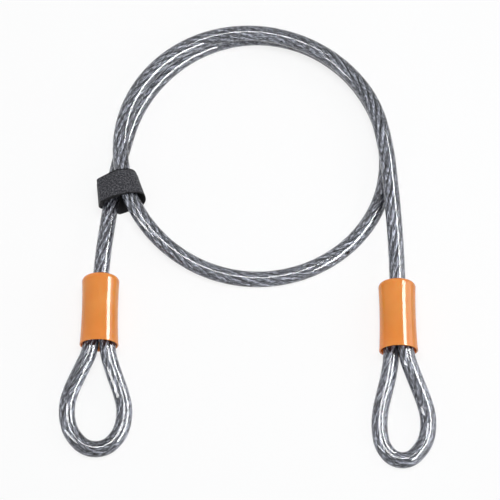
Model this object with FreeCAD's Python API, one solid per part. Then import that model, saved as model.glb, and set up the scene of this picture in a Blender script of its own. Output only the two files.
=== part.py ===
import FreeCAD, Part
import math
import os

from FreeCAD import Placement, Rotation, Vector

# Cable lock: a steel rope in a clear vinyl jacket, with an eye at each end that is closed by a swaged
# sleeve under an orange cover. It lies coiled on the floor, and a hook-and-loop strap ties the coil.
# Millimetres, +Z up, floor at z = 0. The origin is under the middle of the end units and the strap.

# Cable
cable_d = 10.0
jacket_wall = 1.0
rope_clearance = 0.05
pass_gap = 0.5              # least room between two passes of the cable that lie on each other

cable_r = cable_d / 2
jacket_bore_r = cable_r - jacket_wall
rope_r = jacket_bore_r - rope_clearance

# Strap
strap_width = 16.5
fabric_t = 0.5              # outer layer, with the soft loops
hook_t = 0.5                # inner layer, with the hooks
strap_t = fabric_t + hook_t
lap_gap = 0.3               # between the strap's two layers where they lap, and at the flap's root
seat_gap = 0.3              # between the strap and the cable that lies on it

# Heights of the cable's middle
floor_height = cable_r
lifted_height = cable_r + strap_t + seat_gap
stacked_height = floor_height + cable_d + pass_gap
crossing_height = lifted_height + cable_d + pass_gap

# Covers. They hold the cable's two legs side by side, and are measured along their axis from the mouth.
leg_gap = 0.06              # between the two legs' jackets
leg_clearance = 0.12        # between the legs' jackets and the cover
cover_wall = 1.15           # at the waist
cover_length = 45.0
cover_flare = 0.75          # how much wider the mouth is than the waist
cover_swell = 0.35          # the same for the shoulder
cover_waist_at = 27.0
cover_round = 3.4           # rounding of the closed end
cover_end_wall = 2.5
cover_lip = 1.1             # wall at the mouth
cover_lip_round = 0.5
cover_hole_clearance = 0.4  # the cable leaves through it a little aslant

leg_offset = cable_r + leg_gap / 2
cover_bore_r = leg_offset + cable_r + leg_clearance
cover_waist_r = cover_bore_r + cover_wall
cover_mouth_r = cover_waist_r + cover_flare
cover_shoulder_r = cover_waist_r + cover_swell
cover_height = cover_mouth_r

# Sleeves swaged on the rope inside the covers
sleeve_clearance = 0.1
sleeve_bottom = 4.4         # from the cover's mouth
sleeve_length = 18.5
sleeve_wall = 1.65          # over the rope, above and below
sleeve_press = 0.5          # depth of the three pressed bands
sleeve_press_width = 3.4
sleeve_bore_clearance = 0.05
dead_end_length = 2.0       # of the rope that stands out of the sleeve
entry_depth = 4.0           # of the jacket inside the cover's closed end
jacket_end_gap = 0.1        # between the sleeve and the eye's jacket

sleeve_half_w = cover_bore_r - sleeve_clearance
sleeve_top = sleeve_bottom + sleeve_length
sleeve_bore_r = rope_r + sleeve_bore_clearance
sleeve_half_t = rope_r + sleeve_wall
entry_y = cover_length - entry_depth
offset_y = sleeve_top + 4.1  # where the rope's step to one side ends
spread_y = -3.3              # where the legs begin to spread

left_x = -91.55
left_mouth_y = -19.3
right_x = 93.0
right_mouth_y = -23.1

# End units: axis and mouth of the cover, roll of the two legs about it, side of the leg that comes from
# the coil, and the eye's route from that leg round to the other. x and y are from the mouth's middle, z is
# the height above the floor.
left_unit = {
    "at": Vector(left_x, left_mouth_y, 0),
    "roll": 0,
    "live_side": -1,
    "eye": [(-10.8, -15.0, 10.3), (-19.0, -32.6, 7.0), (-19.1, -46.0, 5.3),
            (-15.4, -55.8, 5.0), (-6.8, -64.4, 5.0), (5.0, -64.4, 5.0), (12.9, -56.4, 5.0),
            (16.2, -46.6, 5.3), (16.1, -34.8, 6.7), (8.6, -15.4, 10.3)],
}
right_unit = {
    "at": Vector(right_x, right_mouth_y, 0),
    "roll": 30,
    "live_side": 1,
    "eye": [(8.4, -14.6, 12.3), (17.3, -36.5, 7.2), (17.5, -49.3, 5.2),
            (14.4, -58.6, 5.0), (5.9, -67.9, 5.0), (-4.4, -67.3, 5.0), (-10.9, -59.2, 5.0),
            (-12.6, -48.6, 5.0), (-12.0, -36.4, 6.0), (-6.3, -15.4, 8.7)],
}

coil_x = 4.1
coil_y = 112.2

# Free leads between the covers and the coil
left_lead = [(-91.9, 21.7, cover_height), (-90.7, 41.0, 11.9), (-88.35, 64.0, 8.2), (-85.5, 88.5, 6.4),
             (-81.3, coil_y, lifted_height)]
right_lead = [(88.5, coil_y, stacked_height), (90.5, 88.0, 15.5), (92.2, 63.0, 14.4), (93.3, 40.0, 12.6),
              (93.5, 17.9, cover_height)]

# Coil: one row at each quarter turn, clockwise from the left, with the reach from the middle, the height,
# and the degrees by which the cable leans outward there
coil_quarters = [
    (85.4, lifted_height, -11.0),
    (85.0, floor_height, 1.5),
    (84.9, floor_height, 3.5),
    (85.1, floor_height, -1.0),
    (85.1, crossing_height, 0.5),
    (82.7, stacked_height, -3.5),
    (84.4, stacked_height, 4.5),
]

# Strap's run seen along the cables, counterclockwise from its inner end, at the front rim and the back one.
# Each corner is across, height and corner radius, of the face between the two layers.
# The outer run's last two legs are the flap, which lies on the band's inner end.
strap_x = -80.8
strap_y = 84.25
strap_heading = 12.0        # degrees from +Y towards -X
strap_lean = 11.5           # degrees by which the top of each rim leans towards the coil
mid_height = 12.0           # of the strap
lap_across = -1.0           # where the inner end stops under the outer one
hinge_across = -7.0         # where the flap begins
front_outer = [(14.9, 4.4, 9.0), (14.2, 18.6, 7.0), (4.8, 21.75, 8.0), (-4.6, 21.05, 8.0),
               (-13.3, 17.75, 2.2), (-13.8, 13.3, 0)]
back_outer = [(14.0, 3.4, 8.0), (10.8, 20.5, 7.0), (1.4, 23.35, 7.0), (-4.4, 20.95, 8.0),
              (-12.7, 16.85, 2.2), (-12.9, 12.3, 0)]
front_under = [(-12.45, 12.75, 2.5), (-14.7, 8.2, 2.5), (-14.7, 1.7, 5.4), (-2.9, 0.55, 2.0)]
back_under = [(-11.6, 11.8, 2.5), (-13.0, 7.6, 2.5), (-13.0, 1.1, 5.0), (2.0, 0.55, 2.0)]

parts = {}


def unit(vector):
    return Vector(vector).normalize()


def arc_from_corner(start, corner, end):
    """Arc that leaves start towards corner and arrives at end from it."""
    half_turn = (corner - start).getAngle(end - corner) / 2
    weight = math.cos(half_turn)
    middle = (start + corner * (2 * weight) + end) / (2 + 2 * weight)
    return Part.Arc(start, middle, end).toShape()


def run_wire(points, name):
    """Straight runs joined by tangent arcs as large as the shorter run beside each allows."""
    edges, radii, last = [], [], points[0]
    for before, corner, after in zip(points, points[1:], points[2:]):
        into, out = corner - before, after - corner
        half_turn = into.getAngle(out) / 2
        reach = 0.45 * min(into.Length, out.Length)
        start, end = corner - unit(into) * reach, corner + unit(out) * reach
        edges += [Part.LineSegment(last, start).toShape(), arc_from_corner(start, corner, end)]
        radii.append(reach / math.tan(half_turn))
        last = end
    edges.append(Part.LineSegment(last, points[-1]).toShape())
    print(f"{name}: radii", [round(r) for r in radii])
    return Part.Wire(edges)


def turn_wire(stations):
    """One biarc from each station to the next. A station is a point and the direction there."""
    edges = []
    for (start, start_way), (end, end_way) in zip(stations, stations[1:]):
        chord, ways = end - start, start_way + end_way
        a, b, c = 4 - ways.dot(ways), 2 * chord.dot(ways), -chord.dot(chord)
        handle = (-b + math.sqrt(b * b - 4 * a * c)) / (2 * a)
        first, second = start + start_way * handle, end - end_way * handle
        joint = (first + second) / 2
        edges += [arc_from_corner(start, first, joint), arc_from_corner(joint, second, end)]
    return Part.Wire(edges)


def swept(wire, radius):
    start = wire.OrderedEdges[0]
    way = start.tangentAt(start.FirstParameter)
    ring = Part.Wire([Part.makeCircle(radius, wire.OrderedVertexes[0].Point, way)])
    return wire.makePipeShell([ring], True, False)


def tube(wire, name):
    """Jacket along a wire."""
    jacket = swept(wire, cable_r).cut(swept(wire, jacket_bore_r))
    section = math.pi * (cable_r ** 2 - jacket_bore_r ** 2)
    print(f"{name}: length {wire.Length:.1f}, volume over section x length "
          f"{jacket.Volume / section / wire.Length:.4f}")
    return jacket


def coil_stations():
    stations = []
    for quarter, (reach, height, lean) in enumerate(coil_quarters):
        angle = math.radians(180 - 90 * quarter)
        outward = Vector(math.cos(angle), math.sin(angle), 0)
        clockwise = Vector(math.sin(angle), -math.cos(angle), 0)
        lean = math.radians(lean)
        way = clockwise * math.cos(lean) + outward * math.sin(lean)
        stations.append((Vector(coil_x, coil_y, height) + outward * reach, way))
    stations[0] = (left_points[-1], unit(left_points[-1] - left_points[-2]))
    stations[-1] = (right_points[0], unit(right_points[1] - right_points[0]))
    return stations


def least_gap(wires, step=2.0, apart=60.0):
    """Least gap of the cable to itself, on points along the whole free run."""
    points = [p for wire in wires for p in wire.discretize(Distance=step)]
    skip = int(apart / step)
    gaps = [(a - b).Length for i, a in enumerate(points) for b in points[i + skip:]]
    return min(gaps) - cable_d


def leg_point(unit_data, side, y):
    """Middle of a leg inside the cover."""
    roll = math.radians(unit_data["roll"])
    across = side * leg_offset
    return Vector(across * math.cos(roll), y, cover_height + across * math.sin(roll))


def eye_points(unit_data, entry, entry_way):
    """The eye's rope from the closed end of the cover to its dead end, in the unit's own frame."""
    side = unit_data["live_side"]
    route = [entry, entry + entry_way * (entry_y - offset_y) * 0.43, leg_point(unit_data, side, offset_y)]
    route.append(leg_point(unit_data, side, spread_y))
    route += [Vector(*point) for point in unit_data["eye"]]
    route.append(leg_point(unit_data, -side, spread_y))
    route.append(leg_point(unit_data, -side, sleeve_top + dead_end_length))
    return route


def below(wire, y):
    """Part of an eye's wire under a height along the cover. Its legs are straight there."""
    edges = []
    for edge in wire.OrderedEdges:
        start = edge.valueAt(edge.FirstParameter)
        end = edge.valueAt(edge.LastParameter)
        if min(start.y, end.y) < y:
            if max(start.y, end.y) > y:
                start.y, end.y = min(start.y, y), min(end.y, y)
                edge = Part.LineSegment(start, end).toShape()
            edges.append(edge)
    return Part.Wire(edges)


def cover():
    """Moulded cover: a cup with a rounded closed end, a slight waist and a flared mouth."""
    top = cover_length
    inner_top = top - cover_end_wall
    inner_r = cover_bore_r
    mouth_inner_r = cover_mouth_r - cover_lip
    turn = cover_round * (1 - math.sqrt(0.5))
    side = Part.Arc(Vector(cover_mouth_r, cover_lip_round, 0), Vector(cover_waist_r, cover_waist_at, 0),
                    Vector(cover_shoulder_r, top - cover_round, 0)).toShape()
    shoulder = Part.Arc(Vector(cover_shoulder_r, top - cover_round, 0),
                        Vector(cover_shoulder_r - turn, top - turn, 0),
                        Vector(cover_shoulder_r - cover_round, top, 0)).toShape()
    lip = Part.Arc(Vector(mouth_inner_r, cover_lip_round, 0), Vector(cover_mouth_r - cover_lip / 2, 0, 0),
                   Vector(cover_mouth_r, cover_lip_round, 0)).toShape()
    line = [Vector(cover_shoulder_r - cover_round, top, 0), Vector(0, top, 0), Vector(0, inner_top, 0),
            Vector(inner_r - 1.5, inner_top, 0), Vector(inner_r, inner_top - 1.5, 0),
            Vector(inner_r, sleeve_bottom, 0), Vector(mouth_inner_r, cover_lip_round, 0)]
    edges = [side, shoulder] + [Part.LineSegment(a, b).toShape() for a, b in zip(line, line[1:])] + [lip]
    return Part.Face(Part.Wire(edges)).revolve(Vector(), Vector(0, 1, 0), 360)


def sleeve():
    """Oval sleeve over the two legs, with three pressed bands."""
    def oval(half_w, half_t, bottom, length):
        middle = half_w - half_t
        body = Part.makeBox(2 * middle, length, 2 * half_t, Vector(-middle, bottom, -half_t))
        for side in (-1, 1):
            body = body.fuse(Part.makeCylinder(half_t, length, Vector(side * middle, bottom, 0), Vector(0, 1, 0)))
        return body.removeSplitter()

    body = oval(sleeve_half_w, sleeve_half_t, sleeve_bottom, sleeve_length)
    pitch = sleeve_length / 3
    for band in range(3):
        bottom = sleeve_bottom + pitch * (band + 0.5) - sleeve_press_width / 2
        block = Part.makeBox(2 * leg_offset, sleeve_press_width, 2 * sleeve_half_t, Vector(-leg_offset, bottom, 0))
        pressed = sleeve_half_t - sleeve_press
        body = body.cut(block.translated(Vector(0, 0, pressed)))
        body = body.cut(block.translated(Vector(0, 0, -pressed - 2 * sleeve_half_t)))
    for side in (-1, 1):
        body = body.cut(Part.makeCylinder(sleeve_bore_r, sleeve_length, Vector(side * leg_offset, sleeve_bottom, 0),
                                          Vector(0, 1, 0)))
    return body


def end_unit(name, unit_data, lead_end, lead_way):
    """Eye, sleeve and cover at one end of the cable. lead_way points from the coil into the cover."""
    at = unit_data["at"]
    points = eye_points(unit_data, lead_end - at, lead_way)
    rope_wire = run_wire(points, f"{name} eye")
    rope = swept(rope_wire, rope_r)
    jacket_wire = below(rope_wire, sleeve_bottom - jacket_end_gap)
    parts[f"{name}_eye_rope"] = rope.translated(at)
    parts[f"{name}_eye_jacket"] = tube(jacket_wire, f"{name} eye").translated(at)

    hole_y = cover_length - cover_end_wall / 2
    hole_x = (lead_end - at).x - lead_way.x / lead_way.y * ((lead_end - at).y - hole_y)
    hole = Part.makeCylinder(cable_r + cover_hole_clearance, 3 * cover_end_wall,
                             Vector(hole_x, hole_y - 1.5 * cover_end_wall, 0), Vector(0, 1, 0))
    raised = Vector(0, 0, cover_height)
    parts[f"{name}_cover"] = cover().cut(hole).translated(at + raised)
    rolled = Placement(at + raised, Rotation(Vector(0, 1, 0), -unit_data["roll"]))
    body = sleeve()
    body.Placement = rolled
    parts[f"{name}_sleeve"] = body


def strap_point(across, along, height):
    """From the strap's own axes to the floor's: each rim leans, and the bottom stays flat on the floor."""
    leaned = along + (height - mid_height) * math.tan(math.radians(strap_lean))
    turn = Rotation(Vector(0, 0, 1), strap_heading)
    return Vector(strap_x, strap_y, height) + turn.multVec(Vector(across, leaned, 0))


def offset_run(run, offset):
    """Run moved outward by offset. It turns counterclockwise, so that outward is on its right."""
    spots = [Vector(row[0], row[1], 0) for row in run]
    normals = [unit(Vector(b.y - a.y, a.x - b.x, 0)) for a, b in zip(spots, spots[1:])]
    first, last = spots[0] + normals[0] * offset, spots[-1] + normals[-1] * offset
    moved = [(first.x, first.y, 0)]
    for spot, before, after, row in zip(spots[1:], normals, normals[1:], run[1:]):
        corner = spot + unit(before + after) * (offset / math.cos(before.getAngle(after) / 2))
        turn = math.copysign(1, before.cross(after).z)
        moved.append((corner.x, corner.y, row[2] + turn * offset))
    moved.append((last.x, last.y, 0))
    return moved


def point_between(start, end, across):
    share = (across - start[0]) / (end[0] - start[0])
    return (across, start[1] + (end[1] - start[1]) * share, 0)


def strap_runs(outer, under):
    """Band from its inner end round to the flap, the flap, and the hinge on the outer face, at one rim."""
    lap = [point_between(outer[2], outer[3], lap_across)] + outer[3:]
    inner_end = offset_run(lap, -strap_t - lap_gap)[:-1]
    hinge = point_between(outer[3], outer[4], hinge_across)
    half_gap = lap_gap / 2
    band_end = point_between(outer[3], outer[4], hinge_across + half_gap)
    flap_start = point_between(outer[3], outer[4], hinge_across - half_gap)
    face_hinge = offset_run([hinge, outer[4]], fabric_t)[0]
    return inner_end + under + outer[:4] + [band_end], [flap_start] + outer[4:], face_hinge


def rounded_edges(corners, along):
    """Edges of a run at one rim, with its corners rounded."""
    spots = [strap_point(row[0], along, row[1]) for row in corners]
    edges, last = [], spots[0]
    for before, corner, after, row in zip(spots, spots[1:], spots[2:], corners[1:]):
        into, out = unit(corner - before), unit(after - corner)
        reach = row[2] * math.tan(into.getAngle(out) / 2)
        start, end = corner - into * reach, corner + out * reach
        edges += [Part.LineSegment(last, start).toShape(), arc_from_corner(start, corner, end)]
        last = end
    edges.append(Part.LineSegment(last, spots[-1]).toShape())
    return edges


def layer(runs, inner, outer):
    """One layer of the strap between two offsets from its run."""
    rims = []
    for run, along in zip(runs, (-strap_width / 2, strap_width / 2)):
        edges = rounded_edges(offset_run(run, outer), along)
        back = rounded_edges(offset_run(run, inner), along)
        ends = [(edges[-1].lastVertex().Point, back[-1].lastVertex().Point),
                (back[0].firstVertex().Point, edges[0].firstVertex().Point)]
        caps = [Part.LineSegment(a, b).toShape() for a, b in ends]
        rims.append(Part.Wire(edges + caps[:1] + back[::-1] + caps[1:]))
    return Part.makeLoft(rims, True, True)


def strap():
    band_runs, flap_runs, hinges = zip(strap_runs(front_outer, front_under), strap_runs(back_outer, back_under))
    for name, runs in (("band", band_runs), ("flap", flap_runs)):
        parts[f"strap_{name}_hook"] = layer(runs, -hook_t, 0)
        parts[f"strap_{name}_loop"] = layer(runs, 0, fabric_t)
    ends = [strap_point(row[0], along, row[1]) for row, along in zip(hinges, (-strap_width / 2, strap_width / 2))]
    print("flap hinge:", ends[0], "axis", unit(ends[1] - ends[0]))


left_points = [Vector(*point) for point in left_lead]
right_points = [Vector(*point) for point in right_lead]
left_wire = run_wire(left_points, "left lead")
right_wire = run_wire(right_points, "right lead")
coil_wire = turn_wire(coil_stations())
print(f"coil: length {coil_wire.Length:.1f}")
print(f"free run: least gap {least_gap([left_wire, coil_wire, right_wire]):.2f}, "
      f"length {left_wire.Length + coil_wire.Length + right_wire.Length:.1f}")

for node, wire in (("left_lead", left_wire), ("coil", coil_wire), ("right_lead", right_wire)):
    parts[f"{node}_jacket"] = tube(wire, node)
    parts[f"{node}_rope"] = swept(wire, rope_r)

strap()
end_unit("left", left_unit, left_points[0], unit(left_points[0] - left_points[1]))
end_unit("right", right_unit, right_points[-1], unit(right_points[-1] - right_points[-2]))

os.makedirs("parts", exist_ok=True)
for node, shape in parts.items():
    if len(shape.Solids) != 1 or not shape.isValid():
        print("not one valid solid:", node, len(shape.Solids), shape.isValid())
    shape.exportStep(f"parts/{node}.step")
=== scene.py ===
import math
import bpy
import numpy as np
from mathutils import Matrix, Vector


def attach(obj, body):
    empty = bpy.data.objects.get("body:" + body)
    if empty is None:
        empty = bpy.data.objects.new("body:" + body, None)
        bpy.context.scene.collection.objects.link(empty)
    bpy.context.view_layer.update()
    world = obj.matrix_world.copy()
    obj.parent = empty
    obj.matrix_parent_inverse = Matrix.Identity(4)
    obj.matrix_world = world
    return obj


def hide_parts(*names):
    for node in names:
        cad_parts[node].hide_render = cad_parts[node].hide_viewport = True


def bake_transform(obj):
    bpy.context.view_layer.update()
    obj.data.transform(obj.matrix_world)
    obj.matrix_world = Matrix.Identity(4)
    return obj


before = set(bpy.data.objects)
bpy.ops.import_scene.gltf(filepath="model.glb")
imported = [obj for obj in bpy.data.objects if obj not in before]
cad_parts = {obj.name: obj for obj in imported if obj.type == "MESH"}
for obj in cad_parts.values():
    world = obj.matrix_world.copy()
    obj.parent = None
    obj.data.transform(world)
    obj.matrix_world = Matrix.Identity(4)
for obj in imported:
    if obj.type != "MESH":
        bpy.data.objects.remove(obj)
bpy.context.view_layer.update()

print("frame loaded", len(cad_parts), "nodes")


# small helpers for node trees

def newMaterial(name):
    material = bpy.data.materials.new(name)
    material.use_nodes = True
    nodes = material.node_tree.nodes
    return material, nodes, material.node_tree.links, nodes["Principled BSDF"]


def addNode(nodes, kind, settings=None, **inputs):
    node = nodes.new(kind)
    for key, value in (settings or {}).items():
        setattr(node, key, value)
    for key, value in inputs.items():
        node.inputs[key.replace("_", " ")].default_value = value
    return node


def ramp(nodes, stops):
    node = nodes.new("ShaderNodeValToRGB")
    while len(node.color_ramp.elements) < len(stops):
        node.color_ramp.elements.new(0.5)
    for element, (place, colour) in zip(node.color_ramp.elements, stops):
        element.position = place
        element.color = (*colour, 1)
    return node


# camera: the photo looks down steeply, from in front of the eyes

cameraSetup = {"target": Vector((0.0015, 0.049, 0)), "elevation": 68.0, "distance": 1.4, "lens": 159.26,
               "sensor": 36, "reach": 20}


def placeCamera(s):
    data = bpy.data.cameras.new("camera")
    data.lens = s["lens"]
    data.sensor_width = s["sensor"]
    data.clip_end = s["reach"]
    camera = bpy.data.objects.new("camera", data)
    bpy.context.collection.objects.link(camera)
    angle = math.radians(s["elevation"])
    back = Vector((0, -math.cos(angle), math.sin(angle)))
    camera.location = s["target"] + back * s["distance"]
    camera.rotation_euler = back.to_track_quat("Z", "Y").to_euler()
    bpy.context.scene.camera = camera


placeCamera(cameraSetup)

# lamps: two soft ones light the cable lock, from overhead and weakly from the right. The two strips and
# the sheet only draw streaks on what is glossy

lampSetup = {
    "overhead": {"at": (0.0, 0.12, 1.1), "facing": (0.0, 0.0, -1.0), "along": (1, 0, 0),
                 "size": (0.5, 0.3), "power": 7.4, "lightsCloth": True, "drawsStreaks": True},
    "fromRight": {"at": (0.7, 0.05, 0.45), "facing": (-0.85, 0.0, -0.5), "along": (0, 1, 0),
                  "size": (0.6, 0.4), "power": 0.9, "lightsCloth": True, "drawsStreaks": False},
    "rightStrip": {"at": (0.245, -0.005, 0.235), "facing": (-1.0, 0.0, 0.2), "along": (0, 1, 0),
                   "size": (0.51, 0.2), "power": 7.6, "lightsCloth": False, "drawsStreaks": True},
    "rightSheet": {"at": (0.25, -0.06, 0.115), "facing": (-1.0, 0.0, 0.0), "along": (0, 1, 0),
                   "size": (0.4, 0.2), "power": 0.6, "lightsCloth": False, "drawsStreaks": True},
    "leftStrip": {"at": (-0.65, -0.21, 0.35), "facing": (0.75, 0.25, -0.6), "along": (1, 0.2, 0),
                  "size": (0.5, 0.12), "power": 2.6, "lightsCloth": False, "drawsStreaks": True},
}
worldSetup = {"colour": (0.96, 0.98, 1.0), "strength": 0.42, "white": 1.0}


def seenRays(nodes, links, strength):
    # camera, mirror and glass rays, which see the white ground and not the light on the object
    path = nodes.new("ShaderNodeLightPath")
    total = path.outputs["Is Camera Ray"]
    for kind in ("Is Glossy Ray", "Is Transmission Ray"):
        either = addNode(nodes, "ShaderNodeMath", {"operation": "MAXIMUM"})
        links.new(total, either.inputs[0])
        links.new(path.outputs[kind], either.inputs[1])
        total = either.outputs[0]
    share = addNode(nodes, "ShaderNodeMath", {"operation": "MULTIPLY"})
    share.inputs[1].default_value = strength
    links.new(total, share.inputs[0])
    return share.outputs[0]


def placeLamps(setup, world):
    for name, s in setup.items():
        data = bpy.data.lights.new(name, "AREA")
        data.shape = "RECTANGLE"
        data.size, data.size_y = s["size"]
        data.energy = s["power"]
        lamp = bpy.data.objects.new(name, data)
        bpy.context.collection.objects.link(lamp)
        away = -Vector(s["facing"]).normalized()
        along = Vector(s["along"])
        along = (along - away * along.dot(away)).normalized()
        turned = Matrix((along, away.cross(along), away)).transposed().to_4x4()
        lamp.matrix_world = Matrix.Translation(s["at"]) @ turned
        lamp.visible_diffuse = s["lightsCloth"]
        lamp.visible_glossy = s["drawsStreaks"]
    sky = bpy.data.worlds.new("world")
    bpy.context.scene.world = sky
    sky.use_nodes = True
    nodes, links = sky.node_tree.nodes, sky.node_tree.links
    light = nodes["Background"]
    light.inputs["Color"].default_value = (*world["colour"], 1)
    light.inputs["Strength"].default_value = world["strength"]
    white = addNode(nodes, "ShaderNodeBackground", Color=(1, 1, 1, 1), Strength=world["white"])
    mix = nodes.new("ShaderNodeMixShader")
    links.new(seenRays(nodes, links, 1.0), mix.inputs[0])
    links.new(light.outputs[0], mix.inputs[1])
    links.new(white.outputs[0], mix.inputs[2])
    links.new(mix.outputs[0], nodes["World Output"].inputs["Surface"])


placeLamps(lampSetup, worldSetup)


floorSetup = {"reach": 3.0, "colour": (0.87, 0.87, 0.87), "glow": 1.0, "glowShare": 0.78}


def makeFloor(s):
    mesh = bpy.data.meshes.new("floor")
    w = s["reach"]
    mesh.from_pydata([(-w, -w, 0), (w, -w, 0), (w, w, 0), (-w, w, 0)], [], [(0, 1, 2, 3)])
    floor = bpy.data.objects.new("floor", mesh)
    bpy.context.collection.objects.link(floor)
    material, nodes, links, paint = newMaterial("paleFloor")
    paint.inputs["Base Color"].default_value = (*s["colour"], 1)
    paint.inputs["Roughness"].default_value = 0.9
    paint.inputs["Specular IOR Level"].default_value = 0.1
    glow = addNode(nodes, "ShaderNodeEmission", Color=(1, 1, 1, 1), Strength=s["glow"])
    mix = nodes.new("ShaderNodeMixShader")
    links.new(seenRays(nodes, links, s["glowShare"]), mix.inputs[0])
    links.new(paint.outputs[0], mix.inputs[1])
    links.new(glow.outputs[0], mix.inputs[2])
    links.new(mix.outputs[0], nodes["Material Output"].inputs["Surface"])
    mesh.materials.append(material)


makeFloor(floorSetup)
print("camera, lamps and floor are set")


# finishes

strapWidth = 0.0165
# painted shade: the knit's colour darkens towards its cut edges, where the layer shades its own rim, from the
# first distance to the second
edgeShadeReach = (0.0009, 0.0002)


def clearVinyl():
    material, nodes, links, vinyl = newMaterial("clearVinyl")
    vinyl.inputs["Base Color"].default_value = (0.93, 0.95, 1.0, 1)
    vinyl.inputs["Transmission Weight"].default_value = 1.0
    vinyl.inputs["Roughness"].default_value = 0.03
    vinyl.inputs["IOR"].default_value = 1.5
    open_ = nodes.new("ShaderNodeBsdfTransparent")
    path = nodes.new("ShaderNodeLightPath")
    mix = nodes.new("ShaderNodeMixShader")
    links.new(path.outputs["Is Shadow Ray"], mix.inputs[0])
    links.new(vinyl.outputs[0], mix.inputs[1])
    links.new(open_.outputs[0], mix.inputs[2])
    links.new(mix.outputs[0], nodes["Material Output"].inputs["Surface"])
    return material


def wireSteel():
    # UV: metres along the rope, and wires round the strand, with each wire's crown at a whole number
    material, nodes, links, steel = newMaterial("wireSteel")
    steel.inputs["Metallic"].default_value = 1.0
    steel.inputs["Roughness"].default_value = 0.42
    uv = nodes.new("ShaderNodeUVMap")
    place = nodes.new("ShaderNodeSeparateXYZ")
    wire = addNode(nodes, "ShaderNodeMath", {"operation": "ROUND"})
    offset = addNode(nodes, "ShaderNodeMath", {"operation": "SUBTRACT"})
    fromCrown = addNode(nodes, "ShaderNodeMath", {"operation": "ABSOLUTE"})
    # painted shade: the colour fades from each wire's crown down its flanks into the grooves between wires,
    # where shade falls
    paintedWireShade = addNode(nodes, "ShaderNodeMapRange", From_Min=0.05, From_Max=0.4, To_Min=1.0, To_Max=0.08)
    lane = nodes.new("ShaderNodeCombineXYZ")
    stretch = addNode(nodes, "ShaderNodeMapping", Scale=(400, 2.4, 1.0))
    dashes = addNode(nodes, "ShaderNodeTexNoise", {"noise_dimensions": "2D"}, Scale=1.0, Detail=1.0)
    tones = ramp(nodes, [(0.34, (0.02, 0.021, 0.025)), (0.5, (0.104, 0.109, 0.125)),
                         (0.66, (0.36, 0.373, 0.413))])
    shade = addNode(nodes, "ShaderNodeVectorMath", {"operation": "SCALE"})
    links.new(uv.outputs[0], place.inputs[0])
    links.new(place.outputs["Y"], wire.inputs[0])
    links.new(place.outputs["Y"], offset.inputs[0])
    links.new(wire.outputs[0], offset.inputs[1])
    links.new(offset.outputs[0], fromCrown.inputs[0])
    links.new(fromCrown.outputs[0], paintedWireShade.inputs["Value"])
    links.new(place.outputs["X"], lane.inputs["X"])
    links.new(wire.outputs[0], lane.inputs["Y"])
    links.new(lane.outputs[0], stretch.inputs[0])
    links.new(stretch.outputs[0], dashes.inputs["Vector"])
    links.new(dashes.outputs["Fac"], tones.inputs[0])
    links.new(tones.outputs[0], shade.inputs[0])
    links.new(paintedWireShade.outputs[0], shade.inputs["Scale"])
    links.new(shade.outputs[0], steel.inputs["Base Color"])
    return material


def orangeVinyl():
    material, nodes, links, vinyl = newMaterial("orangeVinyl")
    vinyl.inputs["Roughness"].default_value = 0.09
    vinyl.inputs["IOR"].default_value = 1.42
    vinyl.inputs["Subsurface Weight"].default_value = 0.4
    vinyl.inputs["Subsurface Radius"].default_value = (0.004, 0.0015, 0.0006)
    vinyl.inputs["Subsurface Scale"].default_value = 1.0
    place = nodes.new("ShaderNodeTexCoord")
    clouds = addNode(nodes, "ShaderNodeTexNoise", Scale=45.0, Detail=2.0)
    tones = ramp(nodes, [(0.35, (0.745, 0.232, 0.029)), (0.7, (0.8, 0.277, 0.05))])
    links.new(place.outputs["Object"], clouds.inputs["Vector"])
    links.new(clouds.outputs["Fac"], tones.inputs[0])
    links.new(tones.outputs[0], vinyl.inputs["Base Color"])
    return material


def pressedAluminium():
    material, nodes, links, metal = newMaterial("pressedAluminium")
    metal.inputs["Metallic"].default_value = 1.0
    place = nodes.new("ShaderNodeTexCoord")
    scratches = addNode(nodes, "ShaderNodeTexNoise", Scale=900.0, Detail=3.0)
    tones = ramp(nodes, [(0.3, (0.55, 0.56, 0.58)), (0.7, (0.74, 0.75, 0.77))])
    rough = addNode(nodes, "ShaderNodeMapRange", To_Min=0.3, To_Max=0.5)
    links.new(place.outputs["Object"], scratches.inputs["Vector"])
    links.new(scratches.outputs["Fac"], tones.inputs[0])
    links.new(scratches.outputs["Fac"], rough.inputs["Value"])
    links.new(tones.outputs[0], metal.inputs["Base Color"])
    links.new(rough.outputs[0], metal.inputs["Roughness"])
    return material


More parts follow.
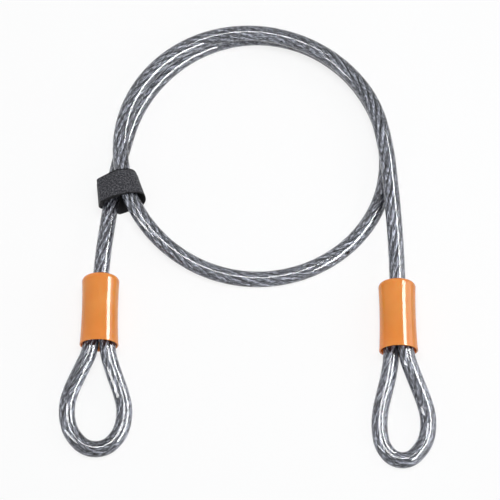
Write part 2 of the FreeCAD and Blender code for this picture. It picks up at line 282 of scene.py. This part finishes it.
def strapKnit():
    # UV in metres: along the strip, and across it from one cut edge to the other
    material, nodes, links, cloth = newMaterial("strapKnit")
    cloth.inputs["Roughness"].default_value = 0.95
    cloth.inputs["Specular IOR Level"].default_value = 0.05
    cloth.inputs["Sheen Weight"].default_value = 0.12
    cloth.inputs["Sheen Roughness"].default_value = 0.5
    uv = nodes.new("ShaderNodeUVMap")
    loops = addNode(nodes, "ShaderNodeTexVoronoi", Scale=1900.0, Randomness=0.85)
    patches = addNode(nodes, "ShaderNodeTexNoise", Scale=950.0, Detail=4.0, Roughness=0.7)
    tones = ramp(nodes, [(0.36, (0.018, 0.018, 0.021)), (0.5, (0.047, 0.047, 0.053)),
                         (0.64, (0.14, 0.14, 0.152))])
    place = nodes.new("ShaderNodeSeparateXYZ")
    fromMiddle = addNode(nodes, "ShaderNodeMath", {"operation": "SUBTRACT"})
    fromMiddle.inputs[1].default_value = strapWidth / 2
    apart = addNode(nodes, "ShaderNodeMath", {"operation": "ABSOLUTE"})
    # painted shade: the knit's colour is darkened near its cut edges, where the layer shades itself
    paintedEdgeShade = addNode(nodes, "ShaderNodeMapRange", From_Min=strapWidth / 2 - edgeShadeReach[0],
                      From_Max=strapWidth / 2 - edgeShadeReach[1], To_Min=1.0, To_Max=0.3)
    shade = addNode(nodes, "ShaderNodeVectorMath", {"operation": "SCALE"})
    bump = addNode(nodes, "ShaderNodeBump", Strength=0.5, Distance=0.0002)
    links.new(uv.outputs[0], loops.inputs["Vector"])
    links.new(uv.outputs[0], patches.inputs["Vector"])
    links.new(uv.outputs[0], place.inputs[0])
    links.new(place.outputs["Y"], fromMiddle.inputs[0])
    links.new(fromMiddle.outputs[0], apart.inputs[0])
    links.new(apart.outputs[0], paintedEdgeShade.inputs["Value"])
    links.new(patches.outputs["Fac"], tones.inputs[0])
    links.new(tones.outputs[0], shade.inputs[0])
    links.new(paintedEdgeShade.outputs[0], shade.inputs["Scale"])
    links.new(loops.outputs["Distance"], bump.inputs["Height"])
    links.new(shade.outputs[0], cloth.inputs["Base Color"])
    links.new(bump.outputs[0], cloth.inputs["Normal"])
    return material


def strapHooks():
    material, *_, cloth = newMaterial("strapHooks")
    cloth.inputs["Base Color"].default_value = (0.010, 0.010, 0.0115, 1)
    cloth.inputs["Roughness"].default_value = 0.6
    cloth.inputs["Specular IOR Level"].default_value = 0.2
    return material


finish = {"jacket": clearVinyl(), "wire": wireSteel(), "cover": orangeVinyl(),
          "sleeve": pressedAluminium(), "knit": strapKnit(), "hooks": strapHooks()}
print("finishes are made")


# cable: one route from cover to cover, and one round each eye, in metres

cable = {
    "thickness": 0.010, "rope": 0.0079, "strands": 6, "wires": 12, "strandLay": 0.066, "wireLay": 0.026,
    "step": 0.002, "pointsPerTurn": 16, "lineSteps": 16, "roundSteps": 8,
    # wires between the grain of one strand and that of the next
    "grainShift": 17,
}
leftLead = [(-0.0919, 0.0217, 0.01208), (-0.0907, 0.0410, 0.0119), (-0.08835, 0.0640, 0.0082),
            (-0.0855, 0.0885, 0.0064), (-0.0813, 0.1122, 0.0063)]
rightLead = [(0.0885, 0.1122, 0.0155), (0.0905, 0.0880, 0.0155), (0.0922, 0.0630, 0.0144),
             (0.0933, 0.0400, 0.0126), (0.0935, 0.0179, 0.01208)]
coil = {
    "middle": (0.0041, 0.1122),
    # reach, height and lean at each quarter turn, clockwise from the left
    "quarters": [(0.0854, 0.0063, -11.0), (0.0850, 0.0050, 1.5), (0.0849, 0.0050, 3.5),
                 (0.0851, 0.0050, -1.0), (0.0851, 0.0168, 0.5), (0.0827, 0.0155, -3.5),
                 (0.0844, 0.0155, 4.5)],
}
leftEye = {
    "mouth": (-0.09155, -0.0193, 0.0),
    "route": [(-0.00503, 0.0052, 0.01208), (-0.00503, -0.0033, 0.01208), (-0.0108, -0.0150, 0.0103),
              (-0.0190, -0.0326, 0.0070), (-0.0191, -0.0460, 0.0053), (-0.0154, -0.0558, 0.0050),
              (-0.0068, -0.0644, 0.0050), (0.0050, -0.0644, 0.0050), (0.0129, -0.0564, 0.0050),
              (0.0162, -0.0466, 0.0053), (0.0161, -0.0348, 0.0067), (0.0086, -0.0154, 0.0103),
              (0.00503, -0.0033, 0.01208), (0.00503, 0.0052, 0.01208)],
}
rightEye = {
    "mouth": (0.0930, -0.0231, 0.0),
    "route": [(0.00436, 0.0052, 0.0146), (0.00436, -0.0033, 0.0146), (0.0084, -0.0146, 0.0123),
              (0.0173, -0.0365, 0.0072), (0.0175, -0.0493, 0.0052), (0.0144, -0.0586, 0.0050),
              (0.0059, -0.0679, 0.0050), (-0.0044, -0.0673, 0.0050), (-0.0109, -0.0592, 0.0050),
              (-0.0126, -0.0486, 0.0050), (-0.0120, -0.0364, 0.0060), (-0.0063, -0.0154, 0.0087),
              (-0.00436, -0.0033, 0.0096), (-0.00436, 0.0052, 0.0096)],
}


def coilPoints(s, perTurn):
    # a smooth curve through the quarters, set out a little so that the spline runs where the cable does
    points, perQuarter = [], perTurn // 4
    x, y = s["middle"]
    out = 1 / (0.75 + 0.25 * math.cos(2 * math.pi / perTurn))
    quarters = s["quarters"]
    for k in range(1, perQuarter * (len(quarters) - 1)):
        i, t = divmod(k, perQuarter)
        t /= perQuarter
        (r0, z0, lean0), (r1, z1, lean1) = quarters[i], quarters[i + 1]
        d0, d1 = (r * math.tan(math.radians(a)) * math.pi / 2 for r, a in ((r0, lean0), (r1, lean1)))
        reach = ((2 * t**3 - 3 * t * t + 1) * r0 + (t**3 - 2 * t * t + t) * d0
                 + (3 * t * t - 2 * t**3) * r1 + (t**3 - t * t) * d1)
        height = z0 + (z1 - z0) * (3 * t * t - 2 * t**3)
        angle = math.pi - 2 * math.pi * k / perTurn
        points.append((x + reach * out * math.cos(angle), y + reach * out * math.sin(angle), height))
    return points


def splineObject(name, points, steps):
    curve = bpy.data.curves.new(name, "CURVE")
    curve.dimensions = "3D"
    curve.resolution_u = steps
    spline = curve.splines.new("NURBS")
    spline.points.add(len(points) - 1)
    for place, point in zip(spline.points, points):
        place.co = (*point, 1)
    spline.order_u = 3
    spline.use_endpoint_u = True
    spline.use_smooth = True
    made = bpy.data.objects.new(name, curve)
    bpy.context.collection.objects.link(made)
    return made


def readLine(made):
    mesh = bpy.data.meshes.new_from_object(made)
    line = [v.co.copy() for v in mesh.vertices]
    bpy.data.meshes.remove(mesh)
    return line


def evenLine(line, step):
    # the same line at even steps, and the length of a step
    total = sum((b - a).length for a, b in zip(line, line[1:]))
    count = round(total / step)
    gap, even, travelled, wanted = total / count, [line[0].copy()], 0.0, total / count
    for a, b in zip(line, line[1:]):
        length = (b - a).length
        while length > 0 and wanted <= travelled + length + 1e-9 and len(even) < count:
            even.append(a.lerp(b, (wanted - travelled) / length))
            wanted += gap
        travelled += length
    even.append(line[-1].copy())
    return even, gap


def carriedFrames(line):
    # a cross direction carried along the line without twist
    ways = [(b - a).normalized() for a, b in zip(line, line[1:])]
    ways = [ways[0]] + [(a + b).normalized() for a, b in zip(ways, ways[1:])] + [ways[-1]]
    side = Vector((0, 0, 1)).cross(ways[0]).normalized()
    frames = []
    for way in ways:
        side = (side - way * side.dot(way)).normalized()
        frames.append((way, side, way.cross(side)))
    return frames


# the reach round one wire of a strand seen end on, as shares of the strand's radius
wireProfile = [1.0, 0.955, 0.775, 0.955]


def makeStrand(name, line, gap, frames, s, number):
    # a tube lobed by its outer wires, laid round the rope's middle, its wires laid the other way
    strandR = s["rope"] / 6                 # six of them just touch round a seventh
    layR = s["rope"] / 2 - strandR
    perWire = len(wireProfile)
    sides = s["wires"] * perWire
    points = np.array(line)
    way, side, up = (np.array([f[k] for f in frames]) for k in range(3))
    along = np.arange(len(line)) * gap
    turn = (2 * math.pi * (number / s["strands"] + along / s["strandLay"]))[:, None]
    outward = side * np.cos(turn) + up * np.sin(turn)
    strandWay = way + (up * np.cos(turn) - side * np.sin(turn)) * (2 * math.pi * layR / s["strandLay"])
    strandWay /= np.linalg.norm(strandWay, axis=1)[:, None]
    across = np.cross(strandWay, outward)
    angle = 2 * math.pi * (np.arange(sides) / sides - (along / s["wireLay"])[:, None])
    reach = strandR * np.tile(wireProfile, s["wires"])
    rings = ((points + outward * layR)[:, None] + outward[:, None] * (reach * np.cos(angle))[..., None]
             + across[:, None] * (reach * np.sin(angle))[..., None])
    faces, uvs = [], []
    for k in range(len(line) - 1):
        for i in range(sides):
            j = (i + 1) % sides
            faces.append((k * sides + i, k * sides + j, (k + 1) * sides + j, (k + 1) * sides + i))
            left, right = ((i + d) / perWire + number * s["grainShift"] for d in (0, 1))
            uvs += [along[k], left, along[k], right, along[k + 1], right, along[k + 1], left]
    last = (len(line) - 1) * sides
    faces += [tuple(range(sides))[::-1], tuple(range(last, last + sides))]
    uvs += [0.0, 0.0] * (2 * sides)
    mesh = bpy.data.meshes.new(name)
    mesh.from_pydata(rings.reshape(-1, 3).tolist(), [], faces)
    mesh.uv_layers.new(name="UVMap").data.foreach_set("uv", uvs)
    mesh.shade_smooth()
    mesh.materials.append(finish["wire"])
    strand = bpy.data.objects.new(name, mesh)
    bpy.context.collection.objects.link(strand)
    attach(strand, "cable")
    return strand


def makeCable(name, points, s, jacketNodes, ropeNodes):
    jacket = splineObject(f"{name}Jacket", points, s["lineSteps"])
    line = readLine(jacket)
    even, gap = evenLine(line, s["step"])
    frames = carriedFrames(even)
    jacket.data.bevel_depth = s["thickness"] / 2
    jacket.data.bevel_resolution = s["roundSteps"]
    jacket.data.use_fill_caps = True
    jacket.data.materials.append(finish["jacket"])
    strands = [makeStrand(f"{name}Strand{n + 1}", even, gap, frames, s, n) for n in range(s["strands"])]
    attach(jacket, "cable")
    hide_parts(*jacketNodes)
    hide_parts(*ropeNodes)


def shifted(unit):
    return [tuple(a + b for a, b in zip(point, unit["mouth"])) for point in unit["route"]]


makeCable("run", leftLead + coilPoints(coil, cable["pointsPerTurn"]) + rightLead, cable,
          ("left_lead_jacket", "coil_jacket", "right_lead_jacket"),
          ("left_lead_rope", "coil_rope", "right_lead_rope"))
makeCable("leftEye", shifted(leftEye), cable, ("left_eye_jacket",), ("left_eye_rope",))
makeCable("rightEye", shifted(rightEye), cable, ("right_eye_jacket",), ("right_eye_rope",))


# strap: two layers of tape round the cables, which run counterclockwise from the inner end to the flap.
# Each corner is across, height, how round it is and how far it is drawn along the cables.

strap = {
    "at": (-0.0808, 0.08425), "heading": 12.0, "lean": 11.5, "middle": 0.012, "width": strapWidth,
    "layer": 0.0005, "lapGap": 0.0003, "lapAcross": -0.0010,
    "hingeAcross": -0.0070, "bend": 0.0022,
    "frontOuter": [(0.0149, 0.0044, 0.0090, 0), (0.0142, 0.0186, 0.0070, 0), (0.0048, 0.02175, 0.0080, 0),
                   (-0.0046, 0.02105, 0.0080, 0), (-0.0133, 0.01775, 0.0022, 0), (-0.0138, 0.0133, 0, 0)],
    "backOuter": [(0.0140, 0.0034, 0.0080, 0), (0.0108, 0.0205, 0.0070, 0), (0.0014, 0.02335, 0.0070, 0),
                  (-0.0044, 0.02095, 0.0080, 0), (-0.0127, 0.01685, 0.0022, 0), (-0.0129, 0.0123, 0, 0)],
    "frontUnder": [(-0.01245, 0.01275, 0.0025, 0), (-0.0147, 0.0082, 0.0025, 0.0028),
                   (-0.0147, 0.0017, 0.0054, 0.0060), (-0.0029, 0.00055, 0.0020, 0)],
    "backUnder": [(-0.0116, 0.0118, 0.0025, 0), (-0.0130, 0.0076, 0.0025, 0.0028),
                  (-0.0130, 0.0011, 0.0050, 0.0060), (0.0020, 0.00055, 0.0020, 0)],
    "step": 0.0004, "legShare": 0.7, "turnSteps": 6, "rim": [0.00001, 0.00005, 0.00013, 0.00025],
    "fuzz": 0.00003, "sharpAngle": 60,
    # hooks: their base, their rows, and the line of one hook as along and height above the base
    "hookBase": 0.00022, "hookPitch": (0.0012, 0.0009), "hookMargin": 0.0007,
    "hookThick": (0.00006, 0.00022),
    "hookLine": [(0.0, -0.00005), (0.0, 0.00014), (0.00004, 0.00021), (0.00012, 0.00025),
                 (0.00022, 0.00023), (0.00028, 0.00014)],
}


def pushedOut(corners, amount):
    # the same corners, moved out by an amount
    spots = [Vector(c[:2]) for c in corners]
    normals = [Vector((b.y - a.y, a.x - b.x)).normalized() for a, b in zip(spots, spots[1:])]
    moved = [spots[0] + normals[0] * amount]
    for spot, before, after in zip(spots[1:], normals, normals[1:]):
        moved.append(spot + (before + after).normalized() * (amount / math.cos(before.angle(after) / 2)))
    moved.append(spots[-1] + normals[-1] * amount)
    return [(*spot, corner[2] + amount, corner[3]) for spot, corner in zip(moved, corners)]


def wholeRun(outer, under, s):
    # the inner end lies under the outer one, deeper by the tape's thickness and the lap's gap
    first, second = outer[2:4]
    share = (s["lapAcross"] - first[0]) / (second[0] - first[0])
    lap = [tuple(a + (b - a) * share for a, b in zip(first, second))] + outer[3:]
    return pushedOut(lap, -2 * s["layer"] - s["lapGap"])[:-1] + under + outer


def roundedRow(corners, legSteps, turnSteps):
    spots = [Vector((c[0], c[3], c[1])) for c in corners]
    row, last = [], spots[0]
    for before, corner, after, c, steps in zip(spots, spots[1:], spots[2:], corners[1:], legSteps):
        into, out = (corner - before).normalized(), (after - corner).normalized()
        reach = c[2] * math.tan(into.angle(out) / 2)
        start, end = corner - into * reach, corner + out * reach
        row += [last.lerp(start, i / steps) for i in range(steps)]
        weight = math.cos(into.angle(out) / 2)
        for i in range(turnSteps):
            t = i / turnSteps
            parts = ((1 - t) ** 2, 2 * t * (1 - t) * weight, t * t)
            row.append((start * parts[0] + corner * parts[1] + end * parts[2]) / sum(parts))
        last = end
    return row + [last.lerp(spots[-1], i / legSteps[-1]) for i in range(legSteps[-1] + 1)]


def strapSheet(s):
    # the face between the two layers as rows from front to back, its outward directions, and where the
    # bend at the flap's root begins and ends
    front, back = wholeRun(s["frontOuter"], s["frontUnder"], s), wholeRun(s["backOuter"], s["backUnder"], s)
    legs = [(Vector(b[:2]) - Vector(a[:2])).length for a, b in zip(front, front[1:])]
    legSteps = [max(2, round(length / s["step"] * s["legShare"])) for length in legs]
    inner = np.arange(s["rim"][-1], s["width"] - s["rim"][-1], s["step"])
    shares = np.array(s["rim"][:-1] + list(inner) + [s["width"] - d for d in reversed(s["rim"])]) / s["width"]
    turn = Matrix.Rotation(math.radians(s["heading"]), 3, "Z")
    tilt = math.tan(math.radians(s["lean"]))
    sheet, flat = [], []
    for share in shares:
        corners = [tuple(a + (b - a) * share for a, b in zip(f, g)) for f, g in zip(front, back)]
        row = roundedRow(corners, legSteps, s["turnSteps"])
        placed = []
        for across, drawn, height in row:
            leaned = (share - 0.5) * s["width"] + drawn + (height - s["middle"]) * tilt
            placed.append(Vector((*s["at"], height)) + turn @ Vector((across, leaned, 0)))
        sheet.append(placed)
        flat.append([across for across, drawn, height in row])
    middle = flat[len(flat) // 2]
    splits = [next(i for i in range(len(middle) // 2, len(middle)) if middle[i] < s["hingeAcross"] + half)
              for half in (s["bend"] / 2, -s["bend"] / 2)]
    sheet = np.array(sheet)
    outward = np.cross(np.gradient(sheet, axis=0), np.gradient(sheet, axis=1))
    outward /= np.linalg.norm(outward, axis=2)[..., None]
    return sheet, outward, splits


def distances(points):
    return np.concatenate([[0], np.cumsum(np.linalg.norm(np.diff(points, axis=0), axis=1))])


def hookRows(sheet, outward, s):
    # small hooks in staggered rows on the tape's inner face, each row facing the other way
    rows, count = sheet.shape[:2]
    lengths, widths = distances(sheet[rows // 2]), distances(sheet[:, count // 2])
    step, pitch = s["hookPitch"]
    spots = [(x + (m % 2) * step / 2, y, 1 - 2 * (m % 2))
             for m, y in enumerate(np.arange(s["hookMargin"], widths[-1] - s["hookMargin"], pitch))
             for x in np.arange(s["hookMargin"], lengths[-1] - s["hookMargin"] - step / 2, step)]
    x, y, facing = np.array(spots).T
    i, j = np.interp(x, lengths, np.arange(count)), np.interp(y, widths, np.arange(rows))
    i0, j0 = np.minimum(i.astype(int), count - 2), np.minimum(j.astype(int), rows - 2)
    i, j = (i - i0)[:, None], (j - j0)[:, None]
    at = ((sheet[j0, i0] * (1 - i) + sheet[j0, i0 + 1] * i) * (1 - j)
          + (sheet[j0 + 1, i0] * (1 - i) + sheet[j0 + 1, i0 + 1] * i) * j)
    down = -outward[j0, i0]
    along = (sheet[j0, i0 + 1] - sheet[j0, i0]) * facing[:, None]
    along -= down * (along * down).sum(axis=1)[:, None]
    along /= np.linalg.norm(along, axis=1)[:, None]
    aside = np.cross(along, down)
    line = np.array(s["hookLine"])
    ways = np.gradient(line, axis=0)
    ways /= np.linalg.norm(ways, axis=1)[:, None]
    thick, wide = (v / 2 for v in s["hookThick"])
    verts = []
    for (a, h), (da, dh) in zip(line, ways):
        for n, b in ((1, 1), (1, -1), (-1, -1), (-1, 1)):
            verts.append(at + down * (s["hookBase"] + h + n * da * thick) + along * (a - n * dh * thick)
                         + aside * (b * wide))
    verts = np.array(verts).transpose(1, 0, 2)
    each = verts.shape[1]
    faces, uvs = [], []
    for k in range(len(spots)):
        base = k * each
        for r in range(0, each - 4, 4):
            faces += [(base + r + c, base + r + 4 + c, base + r + 4 + (c + 1) % 4, base + r + (c + 1) % 4)
                      for c in range(4)]
        faces += [tuple(base + c for c in range(4)), tuple(base + each - 1 - c for c in range(4))]
        uvs += [x[k], y[k]] * (each - 4 + 2) * 4
    return verts.reshape(-1, 3), faces, uvs


def strapLayer(name, sheet, outward, low, high, s, look):
    # a closed slab between two offsets from the sheet, with round rims. The knit's outer face is uneven,
    # and the hook tape's inner one carries its hooks
    rows, count = sheet.shape[:2]
    middle, half = (low + high) / 2, (high - low) / 2
    fuzz = np.random.default_rng(count).normal(0, s["fuzz"], (rows, count, 1))
    rim = s["rim"]
    loop = [(j, half) for j in range(rows)] + [(j, -half) for j in reversed(range(rows))]
    verts = []
    for j, lift in loop:
        nearRim = min(j, rows - 1 - j, len(rim) - 1)
        lift *= math.sqrt(1 - (1 - rim[nearRim] / rim[-1]) ** 2)
        uneven = fuzz[j] if look == "knit" and lift > 0 else 0
        verts.append(sheet[j] + outward[j] * (middle + lift + uneven))
    verts = np.array(verts)
    around = len(loop)
    lengths, widths = distances(sheet[rows // 2]), distances(sheet[:, count // 2])
    spread = [widths[j] if lift > 0 else 2 * widths[-1] - widths[j] for j, lift in loop] + [2 * widths[-1]]
    faces, uvs = [], []
    for k in range(around):
        other = (k + 1) % around
        for i in range(count - 1):
            faces.append((k * count + i, other * count + i, other * count + i + 1, k * count + i + 1))
            near, far = spread[k], spread[k + 1]
            uvs += [lengths[i], near, lengths[i], far, lengths[i + 1], far, lengths[i + 1], near]
    for i in (0, count - 1):
        for k in range(rows - 1):
            a, b = k * count + i, (k + 1) * count + i
            c, d = (around - 1 - k) * count + i, (around - 2 - k) * count + i
            faces.append((c, d, b, a) if i == 0 else (a, b, d, c))
            uvs += [0, widths[k], 0, widths[k + 1], 2 * half, widths[k + 1], 2 * half, widths[k]]
    verts = verts.reshape(-1, 3)
    if look == "hooks":
        hooks, hookFaces, hookUvs = hookRows(sheet, outward, s)
        faces += [tuple(len(verts) + v for v in face) for face in hookFaces]
        uvs += hookUvs
        verts = np.concatenate([verts, hooks])
    mesh = bpy.data.meshes.new(name)
    mesh.from_pydata(verts.tolist(), [], faces)
    mesh.uv_layers.new(name="UVMap").data.foreach_set("uv", uvs)
    mesh.shade_smooth()
    mesh.set_sharp_from_angle(angle=math.radians(s["sharpAngle"]))
    mesh.materials.append(finish[look])
    layer = bpy.data.objects.new(name, mesh)
    bpy.context.collection.objects.link(layer)
    return layer


def makeStrap(s):
    sheet, outward, (split, bendEnd) = strapSheet(s)
    parts = {"band": slice(0, split + 1), "flap": slice(split, None)}
    layers = [("loop", 0.0, s["layer"], "knit"), ("hook", -s["hookBase"], 0.0, "hooks")]
    for part, cut in parts.items():
        for kind, low, high, look in layers:
            layer = strapLayer(f"strap_{part}_{kind}s", sheet[:, cut], outward[:, cut], low, high, s, look)
            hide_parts(f"strap_{part}_{kind}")
            if part == "band":
                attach(layer, "strap")
            else:
                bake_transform(layer)
    print("strap is made, with", sheet.shape[1], "points round it")


makeStrap(strap)


# covers and sleeves keep their CAD shape

def dressNode(node, material):
    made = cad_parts[node]
    made.data.materials.clear()
    made.data.materials.append(material)


for node in ("left_cover", "right_cover"):
    dressNode(node, finish["cover"])
for node in ("left_sleeve", "right_sleeve"):
    dressNode(node, finish["sleeve"])
print("covers and sleeves are dressed")

bpy.context.scene.view_settings.view_transform = "Standard"
